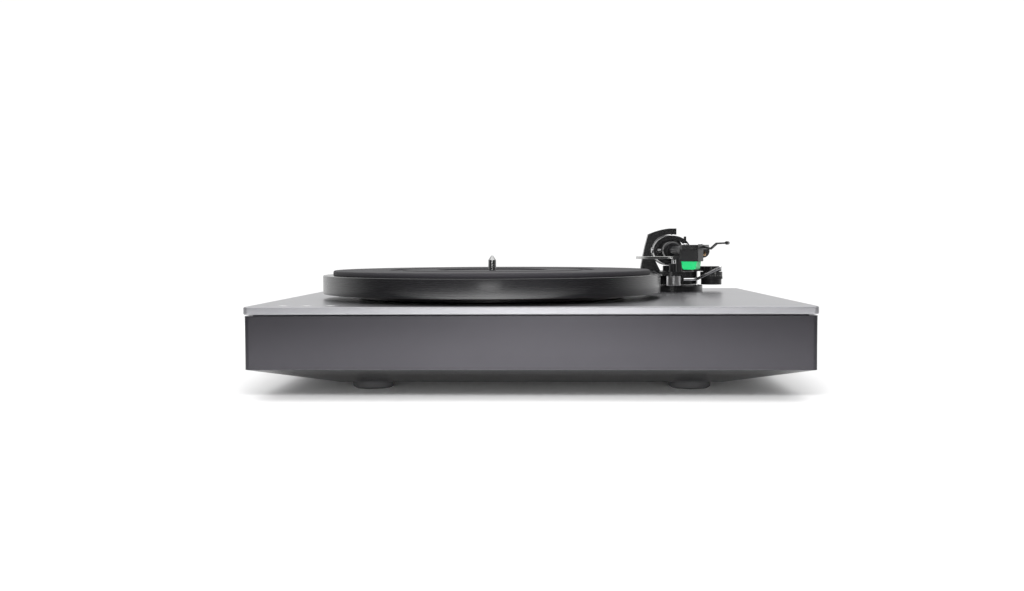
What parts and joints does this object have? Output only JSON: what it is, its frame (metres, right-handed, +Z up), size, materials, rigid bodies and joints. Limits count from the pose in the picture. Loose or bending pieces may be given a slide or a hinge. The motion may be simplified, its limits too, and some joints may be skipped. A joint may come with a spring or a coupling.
{
  "type": "turntable record player",
  "caption": "Low rectangular record player: thick metal plate on a dark plinth, round platter with spindle, and a gimbal tonearm with cartridge, counterweight and cue lever.",
  "frame": {"origin": "on the floor under the middle of the case", "axes": "+X to the right seen from the front, +Y to the back, +Z up"},
  "size_m": [0.435, 0.368, 0.1351],
  "materials": {
    "arm_black": "satin black anodised",
    "black_metal": "satin black",
    "board": "solder mask",
    "bronze": "turned",
    "chrome": "polished",
    "coil": "enamelled wire",
    "core": "laminated",
    "cover": "matt",
    "dial": "satin",
    "gold": "plated",
    "green": "gloss moulded",
    "lead": "thin insulation",
    "magnet": "sintered",
    "mat": "fine matt",
    "moulding": "matt moulded",
    "plate": "fine blasted anodised",
    "platter_metal": "satin black anodised",
    "plinth": "satin lacquer",
    "rotor": "matt black",
    "rubber": "matt",
    "silver": "satin",
    "steel": "satin",
    "weight_metal": "satin black"
  },
  "bodies": {
    "root": {"plinth": "plinth", "top_plate": "plate", "base_cover": "cover", "base_cover_screws": "steel", "feet": "rubber", "foot_screws": "steel", "motor_dish": "black_metal", "motor_screws": "steel", "bearing_housing": "steel", "bearing_bush": "bronze", "thrust_pad": "moulding", "stator_board": "board", "drive_coils": "coil", "control_board": "board", "transformer": "core", "button_board": "board", "connector_panel": "cover", "panel_screws": "steel", "signal_jacks": "gold", "mains_inlet": "moulding", "ground_post": "gold", "arm_collar": "black_metal", "collar_screws": "chrome", "arm_pillar": "chrome", "pillar_nut": "steel", "arm_platform": "arm_black", "bearing_yoke": "arm_black", "upper_pivot_screw": "steel", "lift_housing": "black_metal", "arm_rest": "moulding", "antiskate_housing": "black_metal"},
    "platter_body": {"platter": "platter_metal", "platter_mat": "mat", "rotor_disc": "rotor", "spindle": "chrome", "rotor_magnet": "magnet"},
    "gimbal": {"gimbal_ring": "arm_black", "side_pivot_screws": "chrome"},
    "arm": {"bearing_block": "arm_black", "arm_tube": "arm_black", "headshell": "arm_black", "finger_lift": "arm_black", "cartridge_body": "moulding", "stylus_body": "green", "stylus_cantilever": "silver", "cartridge_screws": "chrome", "cartridge_leads": "lead", "counterweight_stub": "arm_black"},
    "weight": {"counterweight": "weight_metal"},
    "weight_dial": {"force_dial": "dial"},
    "lever": {"cue_lever": "chrome"},
    "lifter": {"lift_bar": "silver", "lift_plunger": "chrome"},
    "bias_ring": {"antiskate_dial": "moulding"},
    "stop_key": {"stop_button": "silver"},
    "low_speed_key": {"low_speed_button": "silver"},
    "high_speed_key": {"high_speed_button": "silver"},
    "output_slider": {"output_switch": "moulding"},
    "rocker": {"power_rocker": "moulding"},
    "nut": {"ground_nut": "gold"}
  },
  "joints": [
    {"name": "platter_spin", "type": "hinge", "parent": "root", "child": "platter_body", "pos_m": [-0.0356, -0.0212, 0.08], "axis": [0, 0, 1], "continuous": true},
    {"name": "arm_swing", "type": "hinge", "parent": "root", "child": "gimbal", "pos_m": [0.14, 0.1146, 0.113], "axis": [0, 0, 1], "range_deg": [-37, 0]},
    {"name": "arm_lift", "type": "hinge", "parent": "gimbal", "child": "arm", "pos_m": [0.14, 0.1146, 0.113], "axis": [-1, -0.007, 0], "range_deg": [0, 12]},
    {"name": "counterweight_slide", "type": "slide", "parent": "arm", "child": "weight", "axis": [-0.007, 1, 0], "range_m": [-0.003, 0.004]},
    {"name": "force_dial_turn", "type": "hinge", "parent": "weight", "child": "weight_dial", "pos_m": [0.14, 0.1146, 0.113], "axis": [-0.007, 1, 0], "continuous": true},
    {"name": "cue_lever_turn", "type": "hinge", "parent": "root", "child": "lever", "pos_m": [0.161, 0.086, 0.0842], "axis": [1, 0, 0], "range_deg": [0, 32]},
    {"name": "lifter_slide", "type": "slide", "parent": "root", "child": "lifter", "axis": [0, 0, -1], "range_m": [0, 0.004]},
    {"name": "antiskate_turn", "type": "hinge", "parent": "root", "child": "bias_ring", "pos_m": [0.179, 0.107, 0.087], "axis": [0, 0, 1], "range_deg": [0, 270]},
    {"name": "output_slide", "type": "slide", "parent": "root", "child": "output_slider", "axis": [1, 0, 0], "range_m": [0, 0.004]},
    {"name": "rocker_tilt", "type": "hinge", "parent": "root", "child": "rocker", "pos_m": [0.024, 0.1714, 0.0445], "axis": [1, 0, 0], "range_deg": [-7, 7]},
    {"name": "ground_nut_turn", "type": "hinge", "parent": "root", "child": "nut", "pos_m": [0.13, 0.1752, 0.0445], "axis": [0, 1, 0], "continuous": true},
    {"name": "stop_press", "type": "slide", "parent": "root", "child": "stop_key", "axis": [0, 0, -1], "range_m": [0, 0.0012], "stiffness_N_per_m": 400, "springref_m": -0.0002},
    {"name": "low_speed_press", "type": "slide", "parent": "root", "child": "low_speed_key", "axis": [0, 0, -1], "range_m": [0, 0.0012], "stiffness_N_per_m": 400, "springref_m": -0.0002},
    {"name": "high_speed_press", "type": "slide", "parent": "root", "child": "high_speed_key", "axis": [0, 0, -1], "range_m": [0, 0.0012], "stiffness_N_per_m": 400, "springref_m": -0.0002}
  ],
  "couplings": [
    {"joint": "lifter_slide", "follows": "cue_lever_turn", "m_per_rad": 0.0071}
  ]
}
